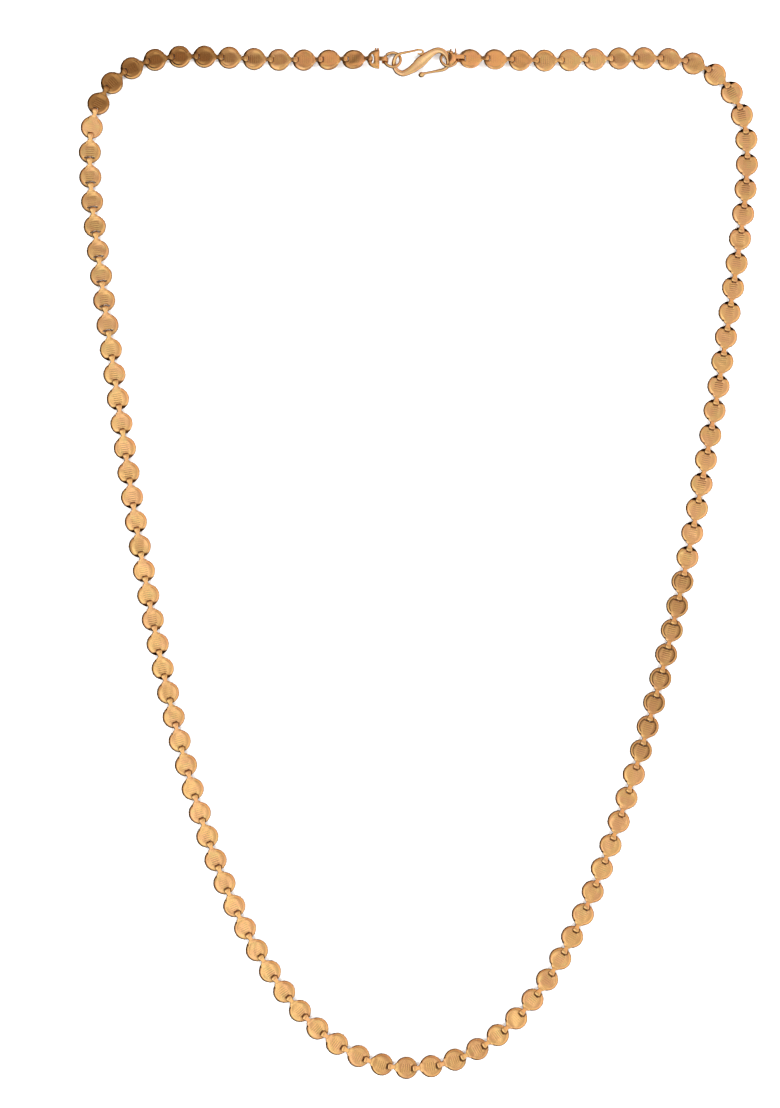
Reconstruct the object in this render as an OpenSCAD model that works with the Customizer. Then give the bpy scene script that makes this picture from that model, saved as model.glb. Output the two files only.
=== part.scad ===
// Coin chain: a necklace of 110 stamped coin links, closed by an S-hook.
// It lies flat. X is to the right, Y up the picture, Z up off the surface.
// Each coin's tongue points back, over the edge of the coin before it, and
// hooks down through that coin's slot.

/* [Coin link] */
// Radius of a coin
coin_r = 2.8; // [2.7:0.05:2.85]
// Radius of the flat field inside the bevelled rim
field_r = 2.15; // [2.1:0.05:2.2]
// Thickness of the stamped sheet
sheet_t = 0.25; // [0.2:0.01:0.26]
// Height of the field above the rim
dome_h = 0.25; // [0.15:0.01:0.26]
// Distance from the coin's centre to the middle of its slot
slot_x = 1.45; // [1.4:0.01:1.5]
// Length of the slot along the chain, at its middle
slot_l = 0.73; // [0.72:0.01:0.76]
// Width of the slot across the chain
slot_w = 2.7; // [2.5:0.05:2.8]
// Width of the tongue at its narrow neck
neck_w = 1.0; // [0.9:0.05:1.1]

/* [Chain] */
// Number of coins, half of them on each side
coins = 110; // [110:2:110]
// Distance from one slot to the next
pitch = 6.21; // [6.2:0.005:6.22]
// Free height between a tongue and the coin it passes over
play = 0.23; // [0.22:0.01:0.25]

/* [Jump rings] */
// Radius of a jump ring, to the middle of its wire
ring_r = 2.0; // [1.95:0.05:2.05]
// Diameter of the jump ring wire
ring_wire = 0.75; // [0.7:0.01:0.78]
// Slope of each ring, whose upper side lies on the surface
ring_tilt = 22; // [21:1:23]

/* [S-hook] */
// Number of sides of the hook's rounded section
hook_sides = 12; // [10:2:16]

/* [Hidden] */
$fn = 48;

// Heights off the surface: under the rim, under the field, under the tongue
rim_z = sheet_t + 0.17;
field_z = rim_z + dome_h;
over_z = field_z + sheet_t + play;
// The tongue is a little thinner than the sheet, so it leaves the field cleanly
tongue_t = sheet_t - 0.02;
// Distance from a coin's centre back to its tongue's tip
reach = pitch - slot_x;
// Height of the line that the links turn about
axis_z = field_z;

// The way the chain lies: x, y and heading in degrees, from the left end link
// down the left side, round the bottom and back up the right side
ROUTE = [
    [-11.65, 125.7, 180],
    [-35.5, 125.6, 179],
    [-60.5, 126.4, -178],
    [-78.6, 117.8, -124],
    [-82.3, 103.4, -91],
    [-79.5, 71.9, -83],
    [-73.5, 28.6, -82],
    [-54.8, -62.6, -73],
    [-33.5, -107.6, -53],
    [-3.2, -126.4, -2],
    [27.5, -110.4, 51],
    [47.2, -72.4, 70],
    [72.8, 31.9, 80],
    [78.5, 68.9, 82],
    [82.0, 101.0, 89],
    [75.9, 120.5, 135],
    [62.5, 125.9, 177],
    [31.0, 125.4, 180],
    [11.3, 125.9, 180]
];
// Samples of the route between two rows
route_steps = 24;

// Near the clasp the coins lean and are lifted. From the clasp outwards: roll
// in degrees, and lift of the coin's end on the left and on the right side
LEAN = [
    [24, 1.05, 0.75],
    [17, 0.65, 0.54],
    [10, 0.34, 0.28],
    [4, 0.1, 0.14],
    [0, 0, 0.06]
];

// A cubic span between two rows, as round as an arc of the same turn
function turn(a, b) = ((b[2] - a[2] + 540) % 360) - 180;
function span_point(a, b, t) =
    let (d = [b[0] - a[0], b[1] - a[1]],
         k = norm(d) / pow(cos(turn(a, b) / 4), 2),
         va = k * [cos(a[2]), sin(a[2])],
         vb = k * [cos(b[2]), sin(b[2])])
    (1 + 2 * t) * pow(1 - t, 2) * [a[0], a[1]] + t * pow(1 - t, 2) * va
    + pow(t, 2) * (3 - 2 * t) * [b[0], b[1]] - pow(t, 2) * (1 - t) * vb;
PATH = [for (i = [0 : len(ROUTE) - 2], s = [0 : route_steps - 1])
            span_point(ROUTE[i], ROUTE[i + 1], s / route_steps),
        span_point(ROUTE[len(ROUTE) - 2], ROUTE[len(ROUTE) - 1], 1),
        [0, 125.9]];

// Joints lie one pitch apart along the path
function beyond(p, i) = norm(PATH[i] - p) >= pitch ? i : beyond(p, i + 1);
function on_path(p, i) =
    let (a = PATH[i - 1], b = PATH[i], na = norm(a - p), nb = norm(b - p))
    a + (pitch - na) / (nb - na) * (b - a);
function joints(p, i, left) =
    left == 0 ? [p]
    : let (k = beyond(p, i)) concat([p], joints(on_path(p, k), k, left - 1));
JOINTS = joints(PATH[0], 1, coins);

// Lift of joint i and roll of coin i, whose edge at the top of the picture is low
function lean(i) = i < len(LEAN) ? LEAN[i] : [0, 0, 0];
function lift(i) = i < coins / 2 ? lean(i)[1] : lean(coins - i)[2];
function roll(i) = lean(min(i, coins - 1 - i))[0];
function joint(i) = [JOINTS[i][0], JOINTS[i][1], axis_z + lift(i)];

// A strip of even thickness in a plane, from its middle line
function heading(p, q) = (q - p) / norm(q - p);
function side(d) = [-d[1], d[0]];
function mitre(line, i) =
    let (n = len(line) - 1,
         d0 = heading(line[max(i, 1) - 1], line[max(i, 1)]),
         d1 = heading(line[min(i, n - 1)], line[min(i, n - 1) + 1]),
         m = side(d0) + side(d1))
    2 * m / (m * m);
module strip(line, thick) {
    n = len(line) - 1;
    polygon([for (i = [0 : n]) line[i] + thick / 2 * mitre(line, i),
             for (i = [n : -1 : 0]) line[i] - thick / 2 * mitre(line, i)]);
}
module across(width) {
    rotate([90, 0, 0]) linear_extrude(width, center = true) children();
}

// The tongue from the side: out of the field, over the next rim, down the slot
field_mid = field_z + sheet_t / 2;
over_mid = over_z + tongue_t / 2;
hook_mid = tongue_t / 2;
TONGUE_SIDE = [
    [-1.6, field_mid],
    [-coin_r + 0.05, field_mid],
    [-reach + 0.75, over_mid],
    [-reach + 0.2, over_mid],
    [-reach, over_mid - 0.2],
    [-reach, hook_mid + 0.15],
    [-reach + 0.15, hook_mid],
    [-reach + 0.85, hook_mid]
];
// The tongue from above: distance back from the centre, and half its width
TONGUE_TOP = [
    [1.5, 1.0],
    [2.5, 1.2],
    [coin_r + 0.3, neck_w / 2],
    [reach - 0.55, 0.8],
    [reach - 0.16, 0.76],
    [reach - 0.12, 0.38],
    [reach + 0.3, 0.38]
];

// The slot is as long as slot_l up to this far from its middle line
slot_mid = 0.6;
// Half its length at its two ends
slot_end = 0.12;

module coin_blank() {
    rotate_extrude()
        polygon([[0, field_z], [field_r, field_z], [coin_r, rim_z],
                 [coin_r, rim_z + sheet_t], [field_r, field_z + sheet_t],
                 [0, field_z + sheet_t]]);
}

module slot() {
    a = [slot_l / 2, slot_mid];
    b = [slot_end, slot_w / 2];
    translate([slot_x, 0, 0]) linear_extrude(2)
        polygon([a, b, [-b[0], b[1]], [-a[0], a[1]], -a, -b, [b[0], -b[1]], [a[0], -a[1]]]);
}

module tongue() {
    top = [for (r = TONGUE_TOP) [-r[0], r[1]]];
    n = len(top) - 1;
    intersection() {
        across(2 * coin_r) strip(TONGUE_SIDE, tongue_t);
        translate([0, 0, -1]) linear_extrude(4)
            polygon([for (p = top) p, for (i = [n : -1 : 0]) [top[i][0], -top[i][1]]]);
    }
}

module coin_link() {
    union() {
        difference() {
            coin_blank();
            slot();
        }
        tongue();
    }
}

// Places a link with its tongue's tip at one joint and its slot at the next
module between(a, b, roll_deg) {
    d = b - a;
    translate(a)
        rotate([roll_deg, -asin(d[2] / norm(d)), atan2(d[1], d[0])])
            translate([reach, 0, -axis_z]) children();
}

module chain(first, last) {
    color("goldenrod")
        for (i = [first : last])
            between(joint(i), joint(i + 1), roll(i)) coin_link();
}
module chain_left() { chain(0, coins / 2 - 1); }
module chain_right() { chain(coins / 2, coins - 1); }

// Middles of the two jump rings, seen from above
RING_LEFT = [-6.6, 125.55];
RING_RIGHT = [7.45, 125.75];
ring_mid_z = ring_r * sin(ring_tilt) + ring_wire / 2;
// Open seam of a ring, in degrees of its turn
ring_seam = 8;

module jump_ring(mid, seam_at) {
    color("darkgoldenrod") translate([mid[0], mid[1], ring_mid_z])
        rotate([-ring_tilt, 0, 0]) rotate([0, 0, seam_at])
            rotate_extrude(angle = 360 - ring_seam)
                translate([ring_r, 0]) circle(d = ring_wire);
}
module ring_left() { jump_ring(RING_LEFT, 145); }
module ring_right() { jump_ring(RING_RIGHT, 60); }

// The left end link: the front half of a coin, its tongue curled round the ring
eye_r = ring_wire / 2 + 0.25 + tongue_t / 2;
eye_x = JOINTS[0][0] + slot_x - (RING_LEFT[0] - ring_r + 0.06);
eye_z = field_mid - eye_r;
cut_x = -0.3;
EYE_SIDE = concat(
    [[0.6, field_mid]],
    [for (a = [90 : 30 : 330]) [eye_x + eye_r * cos(a), eye_z + eye_r * sin(a)]]);
nib_d = 0.45;
NIB_X = [0.05, 0.65];
// Width of the strips that go round the jump rings
strap_w = 1.2;

module end_link_left() {
    end = joint(0);
    start = [end[0] + pitch, end[1], end[2]];
    color("orange") between(start, end, LEAN[0][0]) {
        difference() {
            coin_blank();
            slot();
            translate([cut_x - 2 * coin_r, -coin_r, 0]) cube([2 * coin_r, 2 * coin_r, 2]);
        }
        across(strap_w) strip(EYE_SIDE, tongue_t);
        for (x = NIB_X)
            translate([x, -coin_r + 0.3, rim_z + sheet_t / 2])
                rotate([90, 0, 0]) cylinder(d = nib_d, h = 0.7);
    }
}

// The right end link: the back half of a coin on a strap, which is bent into a
// flat loop round the ring and the last coin's edge
strap_in_l = 2.42;
strap_in_h = 1.5;
strap_lift = 0.15;
// Where the half coin is cut, from its centre, across and along the chain
half_cut_x = 0.95;
half_cut_y = 1.0;
// Its two spikes: place along the chain from its centre, height, width and length
SPIKES = [
    [1.4, 0.85, 0.75, 1.3],
    [2.6, 0.72, 0.55, 1.55]
];
spike_tip = 0.3;

module cut_corners(l, h, c) {
    polygon([[-l / 2 + c, -h / 2], [l / 2 - c, -h / 2], [l / 2, -h / 2 + c], [l / 2, h / 2 - c],
             [l / 2 - c, h / 2], [-l / 2 + c, h / 2], [-l / 2, h / 2 - c], [-l / 2, -h / 2 + c]]);
}

// The half coin, its centre at the origin and its field level with the strap's top
module half_coin() {
    translate([0, 0, (strap_in_h + sheet_t) / 2 - field_mid]) difference() {
        coin_blank();
        translate([half_cut_x - 2 * coin_r, -coin_r, 0]) cube([2 * coin_r, 2 * coin_r, 2]);
        translate([-coin_r, half_cut_y, 0]) cube([2 * coin_r, coin_r, 2]);
    }
    for (s = SPIKES)
        translate([s[0], half_cut_y - 0.1, s[1]])
            rotate([-90, 0, 0]) cylinder(d1 = s[2], d2 = spike_tip, h = s[3]);
}

module end_link_right() {
    tip = joint(coins);
    strap_mid = (strap_in_l + sheet_t) / 2;
    color("orange") translate([tip[0] - strap_mid, tip[1], ring_mid_z + strap_lift])
        rotate([-ring_tilt, 0, 0]) {
            across(strap_w) difference() {
                cut_corners(strap_in_l + 2 * sheet_t, strap_in_h + 2 * sheet_t, 0.45);
                cut_corners(strap_in_l, strap_in_h, 0.3);
            }
            translate([strap_mid - reach, 0, 0]) half_coin();
        }
}

// The S-hook from its curled end to its ball end: x, y, z, width and thickness
HOOK = [
    [-0.40, 127.10, 1.60, 0.45, 0.45],
    [0.30, 126.90, 1.62, 0.50, 0.50],
    [0.95, 127.20, 1.62, 0.52, 0.52],
    [0.80, 127.80, 1.60, 0.55, 0.55],
    [-0.10, 128.00, 1.56, 0.58, 0.58],
    [-1.25, 127.75, 1.54, 0.60, 0.60],
    [-2.75, 127.45, 1.54, 0.62, 0.62],
    [-4.50, 127.10, 1.55, 0.70, 0.66],
    [-5.65, 126.50, 1.42, 0.85, 0.74],
    [-6.20, 125.40, 1.08, 1.00, 0.82],
    [-6.20, 124.00, 0.70, 1.15, 0.88],
    [-5.50, 122.80, 0.50, 1.35, 0.90],
    [-4.20, 122.20, 0.50, 1.50, 0.90],
    [-2.90, 122.60, 0.55, 1.70, 0.88],
    [-1.25, 123.60, 0.66, 2.20, 0.84],
    [0.50, 125.15, 0.85, 2.70, 0.80],
    [2.10, 126.50, 1.10, 2.20, 0.82],
    [3.80, 127.60, 1.38, 1.70, 0.84],
    [5.05, 127.85, 1.52, 1.55, 0.84],
    [6.20, 127.35, 1.52, 1.40, 0.84],
    [7.05, 126.25, 1.32, 1.20, 0.82],
    [7.30, 125.00, 0.98, 1.05, 0.80],
    [7.00, 123.85, 0.72, 0.92, 0.76],
    [6.15, 123.15, 0.60, 0.80, 0.72],
    [4.75, 122.85, 0.58, 0.72, 0.68],
    [3.35, 122.60, 0.62, 0.64, 0.64],
    [1.60, 122.25, 0.68, 0.62, 0.62],
    [1.05, 122.05, 0.70, 1.10, 1.10],
    [0.60, 121.85, 0.72, 1.40, 1.40],
    [0.10, 121.60, 0.74, 1.00, 1.00],
    [-0.08, 121.50, 0.75, 0.30, 0.30]
];
hook_steps = 3;

function hook_row(i) = HOOK[min(max(i, 0), len(HOOK) - 1)];
function hook_at(u) =
    let (i = min(floor(u), len(HOOK) - 2), t = u - i,
         a = hook_row(i - 1), b = hook_row(i), c = hook_row(i + 1), d = hook_row(i + 2))
    0.5 * (2 * b + t * (c - a) + t * t * (2 * a - 5 * b + 4 * c - d)
           + t * t * t * (3 * b - a - 3 * c + d));
HOOK_RINGS = [for (k = [0 : (len(HOOK) - 1) * hook_steps]) hook_at(k / hook_steps)];

function spot(row) = [row[0], row[1], row[2]];
function hook_ring(i) =
    let (n = len(HOOK_RINGS) - 1,
         d = spot(HOOK_RINGS[min(i + 1, n)]) - spot(HOOK_RINGS[max(i - 1, 0)]),
         out = cross(d, [0, 0, 1]) / norm(cross(d, [0, 0, 1])),
         up = cross(out, d) / norm(d),
         row = HOOK_RINGS[i])
    [for (s = [0 : hook_sides - 1])
        let (a = 360 * s / hook_sides)
        spot(row) + row[3] / 2 * cos(a) * out + row[4] / 2 * sin(a) * up];

module s_hook() {
    n = len(HOOK_RINGS);
    m = hook_sides;
    color("gold") polyhedron(
        points = [for (i = [0 : n - 1]) each hook_ring(i)],
        faces = [[for (s = [0 : m - 1]) s],
                 for (i = [0 : n - 2], s = [0 : m - 1])
                     [i * m + s, (i + 1) * m + s, (i + 1) * m + (s + 1) % m, i * m + (s + 1) % m],
                 [for (s = [m - 1 : -1 : 0]) (n - 1) * m + s]]);
}

chain_left();
chain_right();
end_link_left();
end_link_right();
ring_left();
ring_right();
s_hook();
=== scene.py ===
"""The looks of a coin chain necklace: stamped gold coin links, jump rings and an S-hook.

Sizes are in millimetres, and MM turns them into Blender's metres. The view is straight down.
A link is drawn in its own frame: u runs forwards from the coin's centre to its slot, v to the left,
and the tongue points back. A shade says how far the metal's colour is darkened, from 0 to 1:
painted shade along the edges, at the bent corners, at the slot and beside the next tongue, and
darker engraved lines and grooves.
"""
import math
import random
from collections import namedtuple

import bpy
import numpy as np
from mathutils import Euler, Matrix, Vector
from mathutils.geometry import delaunay_2d_cdt


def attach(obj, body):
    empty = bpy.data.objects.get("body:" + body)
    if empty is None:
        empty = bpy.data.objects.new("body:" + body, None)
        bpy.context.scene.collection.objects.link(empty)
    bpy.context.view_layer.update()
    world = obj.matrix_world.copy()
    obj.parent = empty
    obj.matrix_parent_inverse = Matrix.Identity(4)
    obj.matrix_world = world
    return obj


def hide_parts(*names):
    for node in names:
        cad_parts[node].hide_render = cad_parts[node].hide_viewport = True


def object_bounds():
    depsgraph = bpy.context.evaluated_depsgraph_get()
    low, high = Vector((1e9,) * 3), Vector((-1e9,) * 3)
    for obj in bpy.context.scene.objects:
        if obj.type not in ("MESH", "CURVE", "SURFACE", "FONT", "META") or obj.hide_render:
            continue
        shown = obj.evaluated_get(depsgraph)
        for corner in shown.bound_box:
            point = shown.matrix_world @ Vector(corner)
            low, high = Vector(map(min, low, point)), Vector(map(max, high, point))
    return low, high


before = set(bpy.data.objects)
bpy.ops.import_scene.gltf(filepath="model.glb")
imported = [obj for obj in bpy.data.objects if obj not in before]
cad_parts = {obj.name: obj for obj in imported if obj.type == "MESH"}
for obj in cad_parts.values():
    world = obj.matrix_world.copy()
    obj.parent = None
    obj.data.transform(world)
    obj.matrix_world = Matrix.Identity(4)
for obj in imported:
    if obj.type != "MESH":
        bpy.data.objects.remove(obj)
cad_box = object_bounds()
scene = bpy.context.scene

MM = 0.001
# The longest stretch between two points of a line, and how near two points are the same
STEP = 0.3
SAME_POINT = 1e-5

# Coin link
COIN_R = 2.8
FIELD_R = 2.15
SHEET_T = 0.25
DOME_H = 0.25
SLOT_X = 1.45
NECK_W = 1.0
PLAY = 0.23

# Kinds of slot: length and width, how far out it is full, and half its length at its ends.
# The turned kind has room for a tongue at a corner of the chain, the strap kind for the strap.
Slot = namedtuple("Slot", "length width full end")
SLOTS = {
    "open": Slot(0.73, 2.7, 0.6, 0.12),
    "thin": Slot(0.44, 2.5, 0.6, 0.08),
    "tight": Slot(0.44, 1.2, 0.42, 0.14),
    "turned": Slot(0.58, 1.2, 0.42, 0.20),
    "strap": Slot(0.62, 1.56, 0.64, 0.26),
}
SLOT_CORNER = 0.09
SLOT_MARGIN = 0.10
# The slot's edge is rounded: width and drop of its lip, and its painted shade
LIP_W = 0.05
LIP_DROP = 0.035
LIP_SHADE = 0.6

# Chain: heights over the floor of a coin and of the tongue that hooks into it
COINS = 110
PITCH = 6.21
REACH = PITCH - SLOT_X
TONGUE_T = 0.23
RIM_Z = 0.42
FIELD_Z = RIM_Z + DOME_H
FIELD_MID = FIELD_Z + SHEET_T / 2
OVER_MID = FIELD_Z + SHEET_T + PLAY + TONGUE_T / 2
HOOK_MID = TONGUE_T / 2

# The way the chain lies: x, y and heading in degrees
ROUTE = [
    (-11.65, 125.7, 180),
    (-35.5, 125.6, 179),
    (-60.5, 126.4, -178),
    (-78.6, 117.8, -124),
    (-82.3, 103.4, -91),
    (-79.5, 71.9, -83),
    (-73.5, 28.6, -82),
    (-54.8, -62.6, -73),
    (-33.5, -107.6, -53),
    (-3.2, -126.4, -2),
    (27.5, -110.4, 51),
    (47.2, -72.4, 70),
    (72.8, 31.9, 80),
    (78.5, 68.9, 82),
    (82.0, 101.0, 89),
    (75.9, 120.5, 135),
    (62.5, 125.9, 177),
    (31.0, 125.4, 180),
    (11.3, 125.9, 180),
]
ROUTE_STEPS = 24
# The route goes straight on to here, past the last joint
CHAIN_END = (0.0, 125.9)

# From the clasp outwards: roll in degrees, and lift on the left and on the right side
LEAN = [(24, 1.05, 0.75), (17, 0.65, 0.54), (10, 0.34, 0.28), (4, 0.1, 0.14), (0, 0, 0.06)]

# How the coins are stamped, worn and shaded, a row for each stretch from its first coin to its last:
# slope of the field up the picture, depth of the lines and side grooves, which also darkens them,
# tarnish, painted shade of the edge and where it is darkest and the rim has a painted highlight
# (degrees), painted shadow beside the next tongue, bend of the corners and their painted shade, and
# kind of slot
WearAndShade = namedtuple("WearAndShade", "first last slope lines sides tarnish edge edge_at beside corners slot")
STAMPING = [WearAndShade(*row) for row in (
    (0, 3, -0.03, 0.010, 0.0, 0.15, 0.80, -90, 0.6, 0.2, "tight"),
    (4, 5, -0.10, 0.050, 0.0, 0.60, 0.80, -90, 0.8, 0.3, "tight"),
    (6, 8, -0.15, 0.060, 0.0, 1.00, 0.80, -90, 0.8, 0.3, "turned"),
    (9, 11, -0.12, 0.060, 0.0, 1.00, 0.80, -90, 0.8, 0.3, "turned"),
    (12, 12, 0.0, 0.010, 0.0, 0.0, 0.50, 0, 0.5, 0.1, "tight"),
    (13, 20, -0.07, 0.030, 0.0, 0.20, 0.60, 60, 0.1, 0.3, "open"),
    (21, 34, 0.0, 0.040, 0.0, 0.0, 0.35, 180, 0.4, 0.8, "tight"),
    (35, 48, 0.0, 0.025, 0.0, 0.0, 0.75, 180, 1.0, 0.1, "tight"),
    (49, 52, 0.0, 0.030, 0.0, 0.10, 0.60, 180, 1.0, 0.2, "tight"),
    (53, 57, 0.0, 0.030, 0.0, 0.25, 0.60, 180, 1.0, 0.2, "tight"),
    (58, 70, 0.0, 0.015, 0.0, 0.05, 1.00, 180, 1.0, 0.1, "tight"),
    (71, 78, 0.0, 0.060, 0.055, 0.35, 0.80, 180, 1.0, 0.1, "thin"),
    (79, 93, 0.0, 0.050, 0.0, 0.0, 0.60, 180, 0.4, 1.0, "tight"),
    (94, 99, 0.0, 0.050, 0.0, 0.0, 0.60, 180, 0.4, 1.0, "turned"),
    (100, 103, -0.05, 0.020, 0.0, 0.20, 1.00, 90, 0.8, 0.1, "tight"),
    (104, 108, 0.0, 0.020, 0.0, 0.0, 0.60, 90, 0.8, 0.1, "tight"),
    (109, 109, 0.0, 0.020, 0.0, 0.0, 0.60, 90, 0.8, 0.1, "strap"),
)]
# What differs from coin to coin: tilt and unevenness of the field, and the range of the lines'
# strength, of the corners' bend and of added tarnish
FIELD_TILT = 0.015
FIELD_DENT = 0.008
DENTS = 3
DENT_WAVE = (1.5, 3.5)
DENT_STRENGTH = (0.4, 1)
LINE_STRENGTH = (0.5, 1.3)
CORNER_STRENGTH = (0.7, 1)
MORE_TARNISH = 0.15

# The coin's relief: distance from its centre, and height over the field
RELIEF = [
    (0.0, 0.0),
    (1.95, 0.0),
    (2.15, -0.015),
    (2.30, -0.055),
    (2.48, -0.122),
    (2.58, -0.165),
    (2.66, -0.217),
    (2.73, -0.280),
    (2.78, -0.340),
    (COIN_R, -0.385),
]
RIM_RINGS = [1.93, 2.04] + [r for r, _ in RELIEF[2:-1]]
UNDER_RELIEF = [(0.0, 0.0), (FIELD_R, 0.0), (2.72, -0.22), (COIN_R, -0.17)]
UNDER_RINGS = [FIELD_R, 2.72]
RIM_SIDES = 60
# A ring of points in the field, and where the field's tilt and dents fade out, the rim's painted
# highlight starts and the edge's painted shade starts
FIELD_RING = 1.2
FIELD_RING_SIDES = 20
FIELD_ENDS = (1.8, 2.25)
RIM_STARTS = (2.1, 2.35)
EDGE_STARTS = (2.35, 2.75)
# The round outline, which stays inside the flat sides of the CAD model's coin
ROUND_R = COIN_R - 0.006

# Engraved lines across the field, the deepest one beside the slot
LINES = 5
LINE_FIRST = -1.25
LINE_PITCH = 0.52
LINE_HALF = 0.13
LINE_REACH = 1.15
LINE_FADE = 0.3

# The groove on both sides of the field
GROOVE_R = 2.04
GROOVE_HALF = 0.20
GROOVE_FROM = 0.9
GROOVE_FADE = 0.5

# The rim is bent down at its front corners, beside the next coin's tongue; near-black painted shade
# covers them from a little ahead of the bend
CORNER_U = 1.95
CORNER_V = 0.60
CORNER_FADE = 0.15
CORNER_SLOPE = 0.45
CORNER_AHEAD = 0.2
CORNER_ROW = 0.1
CORNER_LINES_U = (CORNER_U, 2.15, 2.3, 2.45, 2.6)
CORNER_LINES_V = (CORNER_V + CORNER_FADE, 1.0, 1.3, 1.6, 1.9)

# The strip of painted shadow beside the next coin's tongue: how far off the tongue it is full and
# ends, how far behind the slot's middle it starts, and where its lines run
BESIDE = (0.18, 0.38)
BESIDE_START = 0.3
BESIDE_U = (1.92, 2.5)
TONGUE_EDGE = 0.06

# Shades: the depth at which a line or a groove is darkest, the darkening of grooves and the painted
# shade of corners, the share of a shade on the brighter side, and where it changes
FULL_DEPTH = 0.05
GROOVE_SHADE = 1.3
CORNER_SHADE = 1.6
BRIGHT_SIDE = 0.2
EDGE_ACROSS = (-1, 1.5)
TONGUE_ACROSS = (-0.3, 0.3)
# Painted highlight: the share of the tarnish that is taken off the rim, and where, on the side where
# the edge's painted shade is darkest
RIM_HIGHLIGHT = 0.85
HIGHLIGHT_ACROSS = (0.2, 1.2)

# The tongue from the side, and from above: distance back from the centre, half its width
TONGUE_START = 1.6
TONGUE_FOOT = 1.5
RISE_IN = 0.05
TONGUE_SIDE = [
    (-TONGUE_START, FIELD_MID),
    (-COIN_R + RISE_IN, FIELD_MID),
    (-REACH + 0.75, OVER_MID),
    (-REACH + 0.2, OVER_MID),
    (-REACH, OVER_MID - 0.2),
    (-REACH, HOOK_MID + 0.15),
    (-REACH + 0.15, HOOK_MID),
    (-REACH + 0.85, HOOK_MID),
]
TONGUE_TOP = [
    (TONGUE_FOOT, 1.0),
    (2.5, 1.2),
    (COIN_R + 0.3, NECK_W / 2),
    (REACH - 0.55, 0.8),
    (REACH - 0.16, 0.76),
    (REACH - 0.12, 0.38),
    (REACH + 0.3, 0.38),
]
# How far from a bend of the tongue its rounding starts, from the side and from above
BEND_CUT = 0.2
WIDTH_CUT = 0.06
# Columns of points from one side of the tongue to the other, and the distance between its rows
COLUMNS = [-1.0, -0.92, -0.75, -0.35, 0.0, 0.35, 0.75, 0.92, 1.0]
UNDER_COLUMNS = (-0.85, 0.0, 0.85)
TONGUE_ROW = 0.12
# How far the tip's corners are drawn back, and over what length, and the length of its round end
TIP_BACK = 0.14
TIP_LENGTH = 0.4
TIP_ROUND = 0.3
# Round edges of the tongue: their drop on top and below, from which part of its half width they
# start and over how much, how steep they end (1 is upright), and the tongue's crown
ROUND_TOP = 0.13
ROUND_UNDER = 0.07
ROUND_FROM = 0.7
ROUND_OVER = 0.3
STEEPEST = 0.98
CROWN = 0.03
# Where the tongue grows out of the coin: how far back the relief fades out and the strip starts,
# margins inside and outside its edge, and how far off it the edge's painted shade starts
ROOT_BACK = (1.4, 1.7)
ON_TONGUE = (2.5, 2.65)
ROOT_IN = 0.08
ROOT_MID = 0.02
ROOT_OUT = 0.12
ROOT_CLEAR = (0.05, 0.25)
ROOT_ROWS = np.linspace(1.75, 2.5, 6)
UNDER_ROWS = np.linspace(1.9, 2.5, 4)
# The part of the root that the relief's rings stay out of
ROOT_FROM = 1.2
ROOT_R = 2.1
ROOT_MARGIN = 0.17
RIM_MARGIN = 0.02

# Jump rings: their tilt, the seam's opening and its places in degrees
RING_R = 2.0
RING_WIRE = 0.75
RING_TILT = 22
RING_SEAM = 8
SEAM_LEFT = 145
SEAM_RIGHT = 60
RING_LEFT = (-6.6, 125.55)
RING_RIGHT = (7.45, 125.75)
RING_MID_Z = RING_R * math.sin(math.radians(RING_TILT)) + RING_WIRE / 2
RING_TURN = np.array(Euler((math.radians(-RING_TILT), 0, 0)).to_matrix())
RING_ROWS = 73
RING_SIDES = 20
# The rounded cut ends: degrees past the last row, and size
RING_END = (0.9, 0.86)

# The S-hook from its curled end to its ball end: x, y, z, width and thickness
HOOK = [
    (-0.40, 127.10, 1.60, 0.45, 0.45),
    (0.30, 126.90, 1.62, 0.50, 0.50),
    (0.95, 127.20, 1.62, 0.52, 0.52),
    (0.80, 127.80, 1.60, 0.55, 0.55),
    (-0.10, 128.00, 1.56, 0.58, 0.58),
    (-1.25, 127.75, 1.54, 0.60, 0.60),
    (-2.75, 127.45, 1.54, 0.62, 0.62),
    (-4.50, 127.10, 1.55, 0.70, 0.66),
    (-5.65, 126.50, 1.42, 0.85, 0.74),
    (-6.20, 125.40, 1.08, 1.00, 0.82),
    (-6.20, 124.00, 0.70, 1.15, 0.88),
    (-5.50, 122.80, 0.50, 1.35, 0.90),
    (-4.20, 122.20, 0.50, 1.50, 0.90),
    (-2.90, 122.60, 0.55, 1.70, 0.88),
    (-1.25, 123.60, 0.66, 2.20, 0.84),
    (0.50, 125.15, 0.85, 2.70, 0.80),
    (2.10, 126.50, 1.10, 2.20, 0.82),
    (3.80, 127.60, 1.38, 1.70, 0.84),
    (5.05, 127.85, 1.52, 1.55, 0.84),
    (6.20, 127.35, 1.52, 1.40, 0.84),
    (7.05, 126.25, 1.32, 1.20, 0.82),
    (7.30, 125.00, 0.98, 1.05, 0.80),
    (7.00, 123.85, 0.72, 0.92, 0.76),
    (6.15, 123.15, 0.60, 0.80, 0.72),
    (4.75, 122.85, 0.58, 0.72, 0.68),
    (3.35, 122.60, 0.62, 0.64, 0.64),
    (1.60, 122.25, 0.68, 0.62, 0.62),
    (1.05, 122.05, 0.70, 1.10, 1.10),
    (0.60, 121.85, 0.72, 1.40, 1.40),
    (0.10, 121.60, 0.74, 1.00, 1.00),
    (-0.08, 121.50, 0.75, 0.30, 0.30),
]
HOOK_STEPS = 8
HOOK_SIDES = 24
# How square the hook is where it is flattened, from 0 for an ellipse
HOOK_SQUARE = 0.22

# Left end link: the cut through its coin, and its nibs
CUT_X = -0.3
CUT_MARGIN = 0.1
NIB_D = 0.45
NIB_X = (0.05, 0.65)
# A nib's profile: place from the coin's edge, negative outwards, and share of its radius
NIB_PROFILE = [(-0.4, 0.4), (-0.38, 0.8), (-0.3, 1.0), (0.0, 1.0), (0.3, 1.0)]
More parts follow.
